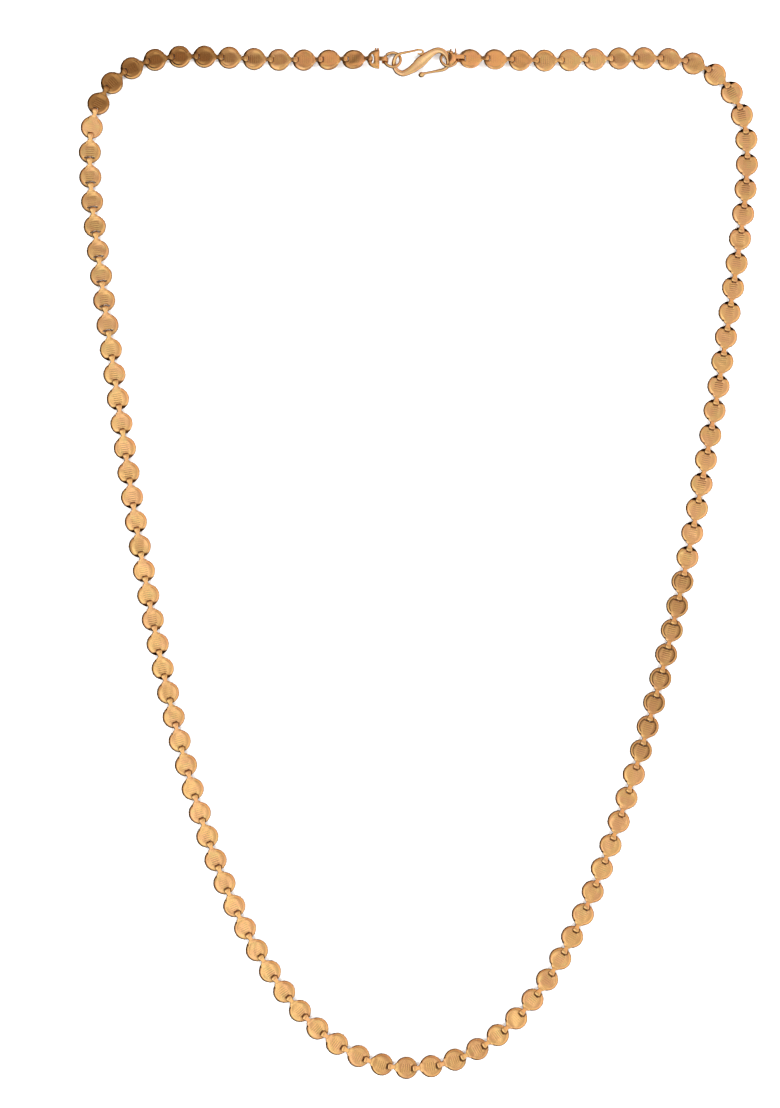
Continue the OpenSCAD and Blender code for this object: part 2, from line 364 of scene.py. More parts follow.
# Its eye: the foot on the coin, the room round the wire, how far it is off the wire's middle,
# and its turns in degrees
EYE_FOOT = 0.6
EYE_GAP = 0.25
EYE_R = RING_WIRE / 2 + EYE_GAP + TONGUE_T / 2
EYE_Z = FIELD_MID - EYE_R
EYE_OFF = 0.06
EYE_TURNS = np.arange(90, 331, 12)

# Right end link: the strap, the cuts through its coin, and the spikes
STRAP_W = 1.2
STRAP_IN_L = 2.42
STRAP_IN_H = 1.5
STRAP_LIFT = 0.15
STRAP_BEND = 0.42
STRAP_BEND_STEPS = 6
# The middle line's half length and half height
STRAP_HX = (STRAP_IN_L + SHEET_T) / 2
STRAP_HZ = (STRAP_IN_H + SHEET_T) / 2
HALF_CUT_X = 0.95
HALF_CUT_Y = 1.0
HALF_MARGIN = 0.08
HALF_SIDES = 32
# Place along the chain, height, width at the foot and length
SPIKES = [(1.4, 0.85, 0.75, 1.3), (2.6, 0.72, 0.55, 1.55)]
SPIKE_TIP = 0.3
SPIKE_SUNK = 0.1
PEG_SIDES = 14
# Painted shade along the end links' edges
END_LINK_SHADE = 0.5
# The section of a bent strip: its longest stretch, and its corners' share of its thickness
SECTION_STEP = 0.35
SECTION_CORNER = 0.3

# Colours, as linear light
GOLD = (0.93, 0.565, 0.225, 1)
ROSE_GOLD = (0.90, 0.50, 0.24, 1)
GREEN_GOLD = (0.86, 0.60, 0.24, 1)
OLD_GOLD = (0.40, 0.20, 0.065, 1)
# Painted shade, and darker lines and grooves, turn towards this gold, and the deepest to near black
SHADED_GOLD = (0.11, 0.032, 0.006, 1)
DARKEST = (0.018, 0.008, 0.003, 1)
WIRE_GOLD = (0.86, 0.58, 0.26, 1)
WIRE_ROSE = (0.84, 0.52, 0.27, 1)
PAPER = (0.90, 0.90, 0.90, 1)
PALE_PAPER = (0.93, 0.93, 0.93, 1)
WHITE = (1, 1, 1, 1)
WARM_CEILING = (1.0, 0.90, 0.86, 1)
WARM_LEFT = (1.0, 0.86, 0.80, 1)
WARM_TOP = (1.0, 0.78, 0.68, 1)
DUSK = (1.0, 0.58, 0.34, 1)

# Grain of the metals: scale and detail of soft patches and of fine scratches, and depth in metres
ROSE_PATCHES = (330, 2)
ROSE_STEP = (0.40, 0.62)
ROSE_SHARE = 0.75
GREEN_PATCHES = (470, 2)
GREEN_STEP = (0.52, 0.70)
GREEN_SHARE = 0.7
WIRE_PATCHES = (420, 2)
WIRE_STEP = (0.38, 0.66)
COIN_SCRATCHES = (2600, 4)
WIRE_SCRATCHES = (2200, 4)
COIN_GRAIN = 0.000012
WIRE_GRAIN = 0.000014
PAPER_PATCHES = (12, 2)
# Darkening by painted shade and in the lines and grooves: its share of the shaded gold, where that
# turns near black, and how much rougher it gets
SHADED_SHARE = 0.9
DARKEST_STEP = (0.9, 1.3)
DULL_ROUGHNESS = 0.12
# Roughness: how much the scratches add, and the least
COIN_ROUGHNESS = (0.16, 0.12)
WIRE_ROUGHNESS = (0.2, 0.10)
PAPER_ROUGHNESS = 0.9
PAPER_GLOSS = 0.1

# The studio as the chain sees it. The ceiling's edges are soft steps of x / z and y / z.
CEILING_LEFT = (-0.62, -0.50)
CEILING_RIGHT = (0.40, 0.52)
CEILING_LOW = (-0.62, -0.50)
CEILING_HIGH = (0.22, 0.34)
CEILING_SEAM = (-0.035, -0.008)
# Light of the ceiling's right half, of its left half below and above, and where those meet
RIGHT_LIGHT = 0.755
LEFT_LIGHT = (1.38, 0.89)
LEFT_TURN = (-0.12, 0.12)
# The walls are brighter to the lower right, and dimmer near the ceiling and low down. A row of
# four is a step's start and end, and the light at both.
WALL_SLOPE = 0.15
WALL_TOP = (0.32, 0.75, 0.42, 1.0)
SKIRTING_X = (-0.2, 0.5, 0.04, 0.40)
SKIRTING_Y = (0.2, 0.7, 0.0, 0.2)
SKIRTING = (0.38, 0.62)
SKIRTING_SLOPE = 0.3
# The tone turns warm to the left and up the picture
WARM_X = (-0.25, -0.6)
WARM_Y = (0.22, 0.40)
DUSK_LIGHT = 0.16
LOWEST = 0.02

# Lamps over the floor, and half the floor's size, in metres and watts
LAMPS = 12
LAMP_POWER = 3.1
LAMP_SIZE = 0.24
LAMP_OUT = 0.79
LAMP_UP = 0.62
FLOOR_HALF = 0.55

# The photo's size and the place of the origin in it, in pixels, and the size of a pixel
PHOTO_W = 780
PHOTO_H = 1108
ORIGIN_X = 419
ORIGIN_Y = 562.5
PIXEL = 0.25
LENS = 135
SENSOR = 36


def smooth(low, high, value):
    """A soft step from 0 at the low value to 1 at the high one."""
    t = np.clip((value - low) / (high - low), 0, 1)
    return t * t * (3 - 2 * t)


def relief(rows, r):
    """Height of a face over the field, at a distance from the coin's centre."""
    return np.interp(r, [a for a, _ in rows], [b for _, b in rows])


def tongue_half(back):
    """Half the tongue's width, with its corners rounded."""
    xs, ws = zip(*TONGUE_TOP)
    return sum(np.interp(back + d, xs, ws) for d in (-WIDTH_CUT, 0, WIDTH_CUT)) / 3


def rounded(line, cut, steps=6):
    """A line whose corners are rounded, starting up to one cut away from each."""
    line = [np.array(p, float) for p in line]
    out = [line[0]]
    for a, b, c in zip(line, line[1:], line[2:]):
        p = b + (a - b) * min(cut / np.linalg.norm(a - b), 0.45)
        q = b + (c - b) * min(cut / np.linalg.norm(c - b), 0.45)
        for t in np.linspace(0, 1, steps + 1):
            out.append((1 - t) ** 2 * p + 2 * t * (1 - t) * b + t * t * q)
    out.append(line[-1])
    return np.array(out)


SIDE = rounded(TONGUE_SIDE, BEND_CUT)
SIDE_LENGTHS = np.cumsum(np.linalg.norm(np.diff(SIDE, axis=0), axis=1))
SIDE_S = TONGUE_START + np.concatenate([[0], SIDE_LENGTHS])
TONGUE_END = SIDE_S[-1]


def tongue_line(s):
    """Middle line of the tongue and its outward direction, at a distance along it."""
    near = 0.03
    (x, z), (ax, az), (bx, bz) = (
        [np.interp(s + off, SIDE_S, line) for line in SIDE.T] for off in (0, -near, near))
    n = np.hypot(bx - ax, bz - az)
    return x, z, (bz - az) / n, (ax - bx) / n


def engraving(u, v):
    """How deep the engraved lines are at a point, from 0 to 1."""
    depth = np.zeros_like(u)
    for k in range(LINES):
        at = LINE_FIRST + k * LINE_PITCH
        fade = 1 - smooth(LINE_REACH - LINE_FADE, LINE_REACH, np.abs(v))
        line = np.clip(1 - np.abs(u - at) / LINE_HALF, 0, 1) * fade
        depth = np.maximum(depth, line * (k + 2) / (LINES + 1))
    return depth


def groove(u, v):
    """How deep the groove is at a point, from 0 to 1."""
    ring = np.clip(1 - np.abs(np.hypot(u, v) - GROOVE_R) / GROOVE_HALF, 0, 1)
    return ring * smooth(GROOVE_FROM, GROOVE_FROM + GROOVE_FADE, np.abs(v))


def beside_corner(v):
    """Which part of the rim's front belongs to a corner, from 0 to 1."""
    return smooth(CORNER_V, CORNER_V + CORNER_FADE, np.abs(v))


def corner_drop(u, v):
    """How far the rim is bent down at a point."""
    return CORNER_SLOPE * np.maximum(u - CORNER_U, 0) * beside_corner(v)


def corner_shade(u, v):
    """How much near-black painted shade darkens the bent corners."""
    return smooth(CORNER_U - CORNER_AHEAD, CORNER_U, u) * beside_corner(v)


def tongue_shade(u, v):
    """How much painted shadow darkens the metal beside the next coin's tongue."""
    off = np.abs(v) - tongue_half(REACH + SLOT_X - u)
    return (1 - smooth(*BESIDE, off)) * (u > SLOT_X - BESIDE_START)


def edge_shade(u, v):
    """How much painted shade darkens the coin's edge, but not at the tongue's root."""
    clear = np.where(u < 0, smooth(*ROOT_CLEAR, np.abs(v) - tongue_half(-u)), 1)
    return smooth(*EDGE_STARTS, np.hypot(u, v)) * clear


def slot_off(slot, u, v):
    """How far a point is from the slot's edge."""
    half = np.interp(np.abs(v), (slot.full, slot.width / 2), (slot.length / 2, slot.end))
    return np.maximum(np.abs(u - SLOT_X) - half, np.abs(v) - slot.width / 2)


def on_lip(slot, u, v):
    """How near a point is to the slot's edge: 1 at the edge, and 0 where the lip ends."""
    return np.clip(1 - slot_off(slot, u, v) / LIP_W, 0, 1) if slot else np.zeros_like(u)


def slot_loop(slot, grow=0.0):
    """The slot's outline, grown by a margin, with round corners."""
    a, b, y = slot.length / 2 + grow, slot.end + grow, slot.width / 2 + grow
    loop = [(a, slot.full), (b, y), (-b, y), (-a, slot.full)]
    loop += [(-u, -v) for u, v in loop]
    loop = rounded([loop[-1]] + loop + [loop[0]], SLOT_CORNER, 2)[1:-1]
    return divided([(SLOT_X + x, y) for x, y in loop], STEP, closed=True)


def divided(line, longest, closed=False):
    """A line with points added, so that no stretch is longer than asked."""
    out = []
    ends = line[1:] + line[:1] if closed else line[1:]
    for (ax, ay), (bx, by) in zip(line, ends):
        n = max(1, math.ceil(math.hypot(bx - ax, by - ay) / longest))
        out += [(ax + (bx - ax) * k / n, ay + (by - ay) * k / n) for k in range(n)]
    return out if closed else out + [line[-1]]


def in_root(u, v):
    """Whether a point lies where the tongue grows out of the rim."""
    return u < -ROOT_FROM and abs(v) < tongue_half(-u) + ROOT_MARGIN and math.hypot(u, v) > ROOT_R


def inside(loop, points):
    """Which points lie inside a closed loop."""
    x, y = points[:, 0:1], points[:, 1:2]
    ax, ay = np.array(loop).T
    bx, by = np.roll(ax, -1), np.roll(ay, -1)
    crosses = (ay > y) != (by > y)
    level = np.where(by == ay, 1, by - ay)
    right = x < ax + (y - ay) * (bx - ax) / level
    return (crosses & right).sum(axis=1) % 2 == 1


class Pattern:
    """A flat pattern, made of lines that its triangles follow."""

    def __init__(self, outline, slot=None):
        self.points, self.edges = [], []
        self.outline, self.slot = outline, slot
        self.holes = [slot_loop(slot)] if slot else []
        self.loops = [self.line(loop, closed=True) for loop in [outline] + self.holes]
        if slot:
            self.line(slot_loop(slot, LIP_W), closed=True)

    def line(self, points, closed=False):
        """Adds a line that the triangles follow, and tells which points are its own."""
        first = len(self.points)
        self.points += [Vector(p) for p in points]
        ids = list(range(first, first + len(points)))
        self.edges += list(zip(ids, ids[1:] + ids[:1] if closed else ids[1:]))
        return ids

    def triangles(self):
        """Points, triangles, and where the points of the loops went."""
        out = delaunay_2d_cdt(self.points, self.edges, [], 0, SAME_POINT)
        uv = np.array([(p.x, p.y) for p in out[0]])
        went = {old: new for new, olds in enumerate(out[3]) for old in olds}
        tris = np.array(out[2])
        middle = uv[tris].mean(axis=1)
        keep = inside(self.outline, middle)
        for hole in self.holes:
            keep &= ~inside(hole, middle)
        return uv, tris[keep], [[went[i] for i in loop] for loop in self.loops]


def arc(start, end, n):
    """Points on the coin's round edge, from one angle to another."""
    return [(ROUND_R * math.cos(a), ROUND_R * math.sin(a)) for a in np.linspace(start, end, n)]


def circle(n):
    """Angles of points round a circle."""
    return np.linspace(0, 2 * math.pi, n, endpoint=False)


def flank_join():
    """Angle at which the coin's round edge meets the tongue."""
    angles = np.radians(np.linspace(120, 179, 400))
    gap = ROUND_R * np.sin(angles) - tongue_half(-ROUND_R * np.cos(angles))
    return angles[np.argmax(gap < 0)]


JOIN = flank_join()
JOIN_BACK = -ROUND_R * math.cos(JOIN)


def tongue_rows():
    """Places along the tongue of its rows of points."""
    rows = round((TONGUE_END - JOIN_BACK) / TONGUE_ROW)
    return np.linspace(JOIN_BACK, TONGUE_END, rows + 1)[1:]


def tongue_point(s, w):
    """Flat place of a point of the tongue: s along it, w from -1 to 1 across."""
    half = tongue_half(-tongue_line(s)[0])
    drawn_back = TIP_BACK * abs(w) ** 4
    back = s - drawn_back * smooth(TONGUE_END - TIP_LENGTH, TONGUE_END, s)
    return (-back, w * half)


def link_outline():
    """The flat outline of a link: round front, one side of the tongue, its tip, the other side."""
    front = arc(-JOIN, JOIN, round(RIM_SIDES * JOIN / math.pi))
    flank = [tongue_point(s, 1) for s in tongue_rows()]
    tip = [tongue_point(TONGUE_END, w) for w in COLUMNS[-2:0:-1]]
    return front + flank + tip + [(u, -v) for u, v in reversed(flank)]


def ring_lines(pattern, radii, sides, wanted=lambda u, v: True):
    """Rings of the relief where they are wanted, but not in the slot or the tongue's root."""
    for r in radii:
        run = []
        for a in np.linspace(0, 2 * math.pi, sides + 1):
            u, v = r * math.cos(a), r * math.sin(a)
            in_slot = pattern.slot and slot_off(pattern.slot, u, v) < SLOT_MARGIN
            if in_slot or in_root(u, v) or not wanted(u, v):
                if len(run) > 1:
                    pattern.line(run)
                run = []
            else:
                run.append((u, v))
        if len(run) > 1:
            pattern.line(run)


def front_lines(pattern):
    """Lines along the bent corners and beside the next coin's tongue."""
    for side in (-1, 1):
        for u in (CORNER_U - CORNER_ROW, CORNER_U + CORNER_ROW):
            pattern.line([(u, side * v) for v in CORNER_LINES_V])
        for v in (CORNER_V, CORNER_V + CORNER_FADE):
            pattern.line([(u, side * v) for u in CORNER_LINES_U])
        for off in (-TONGUE_EDGE, TONGUE_EDGE, *BESIDE):
            pattern.line([(u, side * (tongue_half(REACH + SLOT_X - u) + off))
                          for u in np.linspace(*BESIDE_U, 5)])


def root_lines(pattern, offsets, back):
    """Lines on both sides of the tongue's root, at some distances from its edge."""
    for side in (-1, 1):
        for off in offsets:
            pattern.line([(-b, side * (tongue_half(b) + off)) for b in back
                          if math.hypot(b, tongue_half(b) + off) < COIN_R - RIM_MARGIN])


def tongue_lines(pattern, columns, root):
    """Lines along the tongue, which start at some places in its root."""
    rows = np.concatenate([root, tongue_rows()[:-1]])
    for w in columns:
        pattern.line([tongue_point(s, w) for s in rows])


def link_top_pattern(slot):
    """The top of a link, with lines along its relief and engraving."""
    pattern = Pattern(link_outline(), slot)
    ring_lines(pattern, RIM_RINGS, RIM_SIDES)
    ring_lines(pattern, [FIELD_RING], FIELD_RING_SIDES)
    for k in range(LINES):
        at = LINE_FIRST + k * LINE_PITCH
        for off in (-1, 0, 1):
            u = at + off * LINE_HALF
            pattern.line(divided([(u, -LINE_REACH), (u, LINE_REACH)], STEP))
    front_lines(pattern)
    root_lines(pattern, (-ROOT_IN, ROOT_MID, ROOT_OUT), ROOT_ROWS)
    tongue_lines(pattern, COLUMNS[1:-1], np.linspace(2.2, JOIN_BACK, 3))
    return pattern


def link_under_pattern(slot):
    """The underside of a link, with fewer lines."""
    pattern = Pattern(link_outline(), slot)
    ring_lines(pattern, UNDER_RINGS, RIM_SIDES // 2)
    root_lines(pattern, (-ROOT_IN, ROOT_OUT), UNDER_ROWS)
    tongue_lines(pattern, UNDER_COLUMNS, [2.3])
    return pattern


def sheet_heights(u, v, rows):
    """Relief of one face of the coin, which fades out at the tongue's root."""
    half = tongue_half(-u)
    root = smooth(half + ROOT_OUT, half - ROOT_IN, np.abs(v)) * smooth(*ROOT_BACK, -u)
    return relief(rows, np.hypot(u, v)) * (1 - root)


def shaped(uv, top, slot):
    """Places the points of a flat pattern on the link's top or underside."""
    u, v = uv.T
    s = np.maximum(-u, TONGUE_START)
    x, z, nx, nz = tongue_line(s)
    on_tongue = smooth(*ON_TONGUE, -u)
    x = np.where(-u > COIN_R - RISE_IN, x, u)
    across = np.abs(v) / tongue_half(-np.minimum(x, -TONGUE_FOOT))
    side = np.clip((across - ROUND_FROM) / ROUND_OVER, 0, 1)
    edge = np.maximum(side, smooth(TONGUE_END - TIP_ROUND, TONGUE_END, s))
    turned = (ROUND_TOP if top else ROUND_UNDER) * (1 - np.sqrt(1 - STEEPEST * edge ** 2))
    crown = CROWN * np.clip(across, 0, 1) ** 2 if top else 0
    sign = 1 if top else -1
    height = sheet_heights(u, v, RELIEF if top else UNDER_RELIEF)
    out = (1 - on_tongue) * height - sign * on_tongue * (crown + turned)
    half = SHEET_T / 2 * (1 - on_tongue) + TONGUE_T / 2 * on_tongue
    out = out + sign * (half - LIP_DROP * on_lip(slot, u, v))
    return np.column_stack([x + nx * out, v, z + nz * out])


class Template:
    """A link or a part of one: its points and triangles, and how each point takes the stamping."""

    def __init__(self, top_pattern, under_pattern):
        uv_t, tri_t, loops_t = top_pattern.triangles()
        uv_b, tri_b, loops_b = under_pattern.triangles()
        n = len(uv_t)
        self.uv = np.vstack([uv_t, uv_b])
        slot = top_pattern.slot
        self.xyz = np.vstack([shaped(uv_t, True, slot), shaped(uv_b, False, slot)])
        walls = []
        for top, under in zip(loops_t, loops_b):
            sign = 1 if top is loops_t[0] else -1
            for k in range(len(top)):
                a, b = top[k], top[(k + 1) % len(top)]
                c, d = under[k] + n, under[(k + 1) % len(under)] + n
                walls += [(a, c, d)[::sign], (a, d, b)[::sign]]
        self.tris = np.vstack([tri_t, tri_b[:, ::-1] + n, np.array(walls)])
        u, v = self.uv.T
        self.field = 1 - smooth(*FIELD_ENDS, np.hypot(u, v))
        self.rim = smooth(*RIM_STARTS, np.hypot(u, v))
        is_top = np.arange(len(u)) < n
        self.lines = engraving(u, v) * is_top
        self.groove = groove(u, v) * is_top
        self.corner = corner_drop(u, v)
        self.corner_shade = corner_shade(u, v) * is_top
        self.tongue_shade = tongue_shade(u, v) * is_top
        self.edge_shade = edge_shade(u, v) * is_top
        self.slot_shade = LIP_SHADE * on_lip(slot, u, v) * is_top


def joint_places():
    """The chain's joints, one pitch apart along the route."""
    path = []
    for (ax, ay, a), (bx, by, b) in zip(ROUTE, ROUTE[1:]):
        turn = (b - a + 540) % 360 - 180
        k = math.hypot(bx - ax, by - ay) / math.cos(math.radians(turn / 4)) ** 2
        p, q = np.array((ax, ay)), np.array((bx, by))
        va, vb = (k * np.array((math.cos(h), math.sin(h))) for h in np.radians((a, b)))
        for t in np.arange(ROUTE_STEPS) / ROUTE_STEPS:
            path.append((1 + 2 * t) * (1 - t) ** 2 * p + t * (1 - t) ** 2 * va
                        + t * t * (3 - 2 * t) * q - t * t * (1 - t) * vb)
    path += [np.array(ROUTE[-1][:2]), np.array(CHAIN_END)]
    at, i, joints = path[0], 1, [path[0]]
    while len(joints) <= COINS:
        while np.linalg.norm(path[i] - at) < PITCH:
            i += 1
        na, nb = np.linalg.norm(path[i - 1] - at), np.linalg.norm(path[i] - at)
        at = path[i - 1] + (PITCH - na) / (nb - na) * (path[i] - path[i - 1])
        joints.append(at)
    return joints


FLAT_JOINTS = joint_places()


def lean(i):
    """Roll, left lift and right lift of a link, counted from the clasp."""
    return LEAN[i] if i < len(LEAN) else (0, 0, 0)


def joint(i):
    """Where a tongue meets its slot, with its height."""
    up = lean(i)[1] if i < COINS / 2 else lean(COINS - i)[2]
    return np.array((*FLAT_JOINTS[i], FIELD_Z + up))


def between(a, b, roll):
    """Turn and place of a link whose tongue is at a and whose slot is at b."""
    d = b - a
    pitch_up = -math.asin(d[2] / np.linalg.norm(d))
    turn = np.array(Euler((math.radians(roll), pitch_up, math.atan2(d[1], d[0]))).to_matrix())
    return turn, a + turn @ np.array((REACH, 0, -FIELD_Z))


def stamping(i):
    """How a coin is stamped, worn and shaded: its row of the table."""
    return next(row for row in STAMPING if row.first <= i <= row.last)


def dents(uv, rng):
    """Soft unevenness of a stamped field."""
    out = np.zeros(len(uv))
    for _ in range(DENTS):
        angle, wave = rng.uniform(0, math.pi), rng.uniform(*DENT_WAVE)
        way = uv @ np.array((math.cos(angle), math.sin(angle)))
        out += FIELD_DENT * rng.uniform(*DENT_STRENGTH) * np.sin(
            2 * math.pi * way / wave + rng.uniform(0, 2 * math.pi))
    return out


def add_object(name, data):
    """An object in the scene."""
    item = bpy.data.objects.new(name, data)
    scene.collection.objects.link(item)
    return item


def add_mesh(name, verts, tris, values=None):
    """A smooth mesh in metres from points in millimetres, with one number per point and name."""
    mesh = bpy.data.meshes.new(name)
    mesh.vertices.add(len(verts))
    mesh.vertices.foreach_set("co", (np.asarray(verts) * MM).astype(np.float32).ravel())
    tris = np.asarray(tris, np.int32)
    mesh.loops.add(tris.size)
    mesh.loops.foreach_set("vertex_index", tris.ravel())
    mesh.polygons.add(len(tris))
    mesh.polygons.foreach_set("loop_start", np.arange(0, tris.size, 3, dtype=np.int32))
    mesh.polygons.foreach_set("use_smooth", np.ones(len(tris), bool))
    for key, column in (values or {}).items():
        layer = mesh.attributes.new(key, "FLOAT", "POINT")
        layer.data.foreach_set("value", np.asarray(column, np.float32))
    mesh.update(calc_edges=True)
    mesh.validate()
    return add_object(name, mesh)


def shaded_and_darkened(template, wear_and_shade, strength, corners, across, right):
    """How far each point of a coin is darkened: painted shade along the edge, beside the next tongue,
    at the corners and at the slot, and darker lines and grooves. Grooves and corners go beyond 1,
    where gold is near black.
    """
    at_edge, at_right = (BRIGHT_SIDE + (1 - BRIGHT_SIDE) * smooth(*ends, way)
                         for ends, way in ((EDGE_ACROSS, across), (TONGUE_ACROSS, right)))
    return np.maximum.reduce([
        template.lines * strength * min(wear_and_shade.lines / FULL_DEPTH, 1),
        template.groove * min(wear_and_shade.sides / FULL_DEPTH, 1) * GROOVE_SHADE,
        template.edge_shade * wear_and_shade.edge * at_edge,
        template.tongue_shade * wear_and_shade.beside * at_right,
        template.corner_shade * corners * CORNER_SHADE,
        template.slot_shade])


def chain_piece(name, first, last):
    """A stretch of the chain as one mesh, each coin with its own stamping, wear and painted shade."""
    rng = random.Random(name)
    verts, tris, tints, shade_and_darkening, count = [], [], [], [], 0
    for i in range(first, last + 1):
        turn, place = between(joint(i), joint(i + 1), lean(min(i, COINS - 1 - i))[0])
        wear_and_shade = stamping(i)
        template = LINKS[wear_and_shade.slot]
        local = template.xyz.copy()
        tilt = wear_and_shade.slope * turn[1, :2] + (rng.gauss(0, FIELD_TILT), rng.gauss(0, FIELD_TILT))
        strength = rng.uniform(*LINE_STRENGTH)
        local[:, 2] += template.field * (template.uv @ tilt + dents(template.uv, rng))
        local[:, 2] -= template.lines * wear_and_shade.lines * strength + template.groove * wear_and_shade.sides
        corners = wear_and_shade.corners * rng.uniform(*CORNER_STRENGTH)
        local[:, 2] -= template.corner * corners
        tris.append(template.tris + count)
        verts.append(local @ turn.T + place)
        count += len(local)
        # The edge's painted shade is darkest towards edge_at, one side of the picture
        edge_at = math.radians(wear_and_shade.edge_at)
        across = template.uv @ (math.cos(edge_at) * turn[0, :2] + math.sin(edge_at) * turn[1, :2])
        # Painted highlight: the rim loses its tarnish on the side where the edge's painted shade is
        # darkest
        rim_highlight = RIM_HIGHLIGHT * template.rim * smooth(*HIGHLIGHT_ACROSS, across)
        tints.append((wear_and_shade.tarnish + rng.uniform(0, MORE_TARNISH)) * (1 - rim_highlight))
        # The painted shadow beside the tongue is darker on its right side
        right = template.uv[:, 1] * turn[0, 1]
        shade_and_darkening.append(shaded_and_darkened(template, wear_and_shade, strength, corners, across, right))
    return add_mesh(name, np.vstack(verts), np.vstack(tris),
                    {"tint": np.concatenate(tints), "shade_and_darkening": np.concatenate(shade_and_darkening)})


def skin(rings, closed=False):
    """Triangles over rings of equally many points, with a fan over each open end."""
    n, m = len(rings), len(rings[0])
    tris = []
    for i in range(n if closed else n - 1):
        a, b = i * m, (i + 1) % n * m
        for s in range(m):
            t = (s + 1) % m
            tris += [(a + s, b + s, b + t), (a + s, b + t, a + t)]
    verts = list(np.vstack(rings))
    if not closed:
        for end, base, flip in ((0, 0, 1), (-1, (n - 1) * m, -1)):
            tris += [(len(verts), base + s, base + (s + 1) % m)[::flip] for s in range(m)]
            verts.append(np.mean(rings[end], axis=0))
    return np.array(verts), np.array(tris)


def spline(rows, steps):
    """Rows between those of a table, on a smooth curve through them."""
    rows = np.array(rows)
    out = []
    for u in np.linspace(0, len(rows) - 1, (len(rows) - 1) * steps + 1):
        i = min(int(u), len(rows) - 2)
        t = u - i
        a, b, c, d = (rows[min(max(i + k, 0), len(rows) - 1)] for k in (-1, 0, 1, 2))
        out.append(0.5 * (2 * b + t * (c - a) + t * t * (2 * a - 5 * b + 4 * c - d)
                          + t ** 3 * (3 * b - a - 3 * c + d)))
    return np.array(out)


def round_box(width, thick, corner, steps=4, longest=SECTION_STEP):
    """A closed line round a box with round corners."""
    hx, hy = width / 2 - corner, thick / 2 - corner
    loop = []
    for cx, cy, start in ((hx, -hy, -90), (hx, hy, 0), (-hx, hy, 90), (-hx, -hy, 180)):
        for k in range(steps + 1):
            a = math.radians(start + 90 * k / steps)
            loop.append((cx + corner * math.cos(a), cy + corner * math.sin(a)))
    return divided(loop, longest, closed=True)


def strip_rings(line, width, thick, closed=False):
    """A bent strip: its line lies in x and z, and its width along y."""
    line = np.array(line)
    before, after = np.roll(line, 1, axis=0), np.roll(line, -1, axis=0)
    if not closed:
        before[0], after[-1] = line[0], line[-1]
    way = after - before
    way /= np.linalg.norm(way, axis=1)[:, None]
    section = round_box(width, thick, thick * SECTION_CORNER)
    rings = []
    for (x, z), (tx, tz) in zip(line, way):
        rings.append(np.array([(x - tz * b, a, z + tx * b) for a, b in section]))
    return rings


def jump_ring(name, middle, seam_at):
    """A ring of round wire with an open seam, its cut ends a little rounded."""
    wire = RING_WIRE / 2
    past, small = RING_END
    turns = np.linspace(0, 360 - RING_SEAM, RING_ROWS)
    ends = [(turns[0] - past, small)] + [(a, 1.0) for a in turns] + [(turns[-1] + past, small)]
    rings = []
    for angle, size in ends:
        a = math.radians(angle + seam_at)
        out = np.array((math.cos(a), math.sin(a), 0))
        ring = [out * (RING_R + wire * size * math.cos(b)) + (0, 0, wire * size * math.sin(b))
                for b in circle(RING_SIDES)]
        rings.append(np.array(ring) @ RING_TURN.T + (*middle, RING_MID_Z))
    return add_mesh(name, *skin(rings))


def s_hook():
    """Wire that is round where it is thin, and flattened where it is wider than it is thick."""
    rows = spline(HOOK, HOOK_STEPS)
    rings = []
    for i, (x, y, z, width, thick) in enumerate(rows):
        way = rows[min(i + 1, len(rows) - 1), :3] - rows[max(i - 1, 0), :3]
        out = np.cross(way, (0, 0, 1))
        out /= np.linalg.norm(out)
        up = np.cross(out, way / np.linalg.norm(way))
        power = 1 - HOOK_SQUARE * min(1, max(0, width / thick - 1))
        ring = []
        for a in circle(HOOK_SIDES):
            c, s = math.cos(a), math.sin(a)
            ring.append(np.array((x, y, z)) + width / 2 * c * out
                        + thick / 2 * math.copysign(abs(s) ** power, s) * up)
        rings.append(np.array(ring))
    return add_mesh("hook", *skin(rings))


def peg(x, z, profile):
    """A round peg along y, from a table of places and radii."""
    return skin([np.array([(x + r * math.cos(a), y, z + r * math.sin(a)) for a in circle(PEG_SIDES)])
                 for y, r in profile])


def part_template(outline, slot, wanted):
    """A part of a coin, with the relief's rings where they are wanted."""
    patterns = [Pattern(outline, slot) for _ in range(2)]
    for pattern, rings in zip(patterns, (RIM_RINGS, UNDER_RINGS)):
        ring_lines(pattern, rings, RIM_SIDES, wanted)
    return Template(*patterns)


def joined(name, pieces, half, turn, place):
    """One mesh of a half coin and the pieces that are fixed to it."""
    verts, tris, shade_and_darkening = [], [], []
    for points, faces in pieces:
        tris.append(faces + sum(len(v) for v in verts))
        verts.append(points @ turn.T + place)
        shade_and_darkening.append(np.zeros(len(points)))
    # Painted shade at the half coin's slot and along its edge
    shade_and_darkening[0] = np.maximum(half.slot_shade, END_LINK_SHADE * half.edge_shade)
    return add_mesh(name, np.vstack(verts), np.vstack(tris), {"shade_and_darkening": np.concatenate(shade_and_darkening)})


def end_link_left():
    """The front half of a coin, with two nibs and an eye curled round the ring."""
    start = joint(0) + (PITCH, 0, 0)
    turn, place = between(start, joint(0), LEAN[0][0])
    cut = math.acos(CUT_X / ROUND_R)
    front = arc(-cut, cut, round(RIM_SIDES * cut / math.pi))
    edge = divided([front[-1], front[0]], STEP)[1:]
    half = part_template(front + edge[:-1], SLOTS["open"], lambda u, v: u > CUT_X + CUT_MARGIN)
    eye_x = FLAT_JOINTS[0][0] + SLOT_X - (RING_LEFT[0] - RING_R + EYE_OFF)
    eye = [(EYE_FOOT, FIELD_MID)] + [(eye_x + EYE_R * math.cos(a), EYE_Z + EYE_R * math.sin(a))
                                     for a in np.radians(EYE_TURNS)]
    pieces = [(half.xyz, half.tris), skin(strip_rings(eye, STRAP_W, TONGUE_T))]
    profile = [(-COIN_R + y, NIB_D / 2 * size) for y, size in NIB_PROFILE]
    pieces += [peg(x, RIM_Z + SHEET_T / 2, profile) for x in NIB_X]
    return joined("end_coin", pieces, half, turn, place)


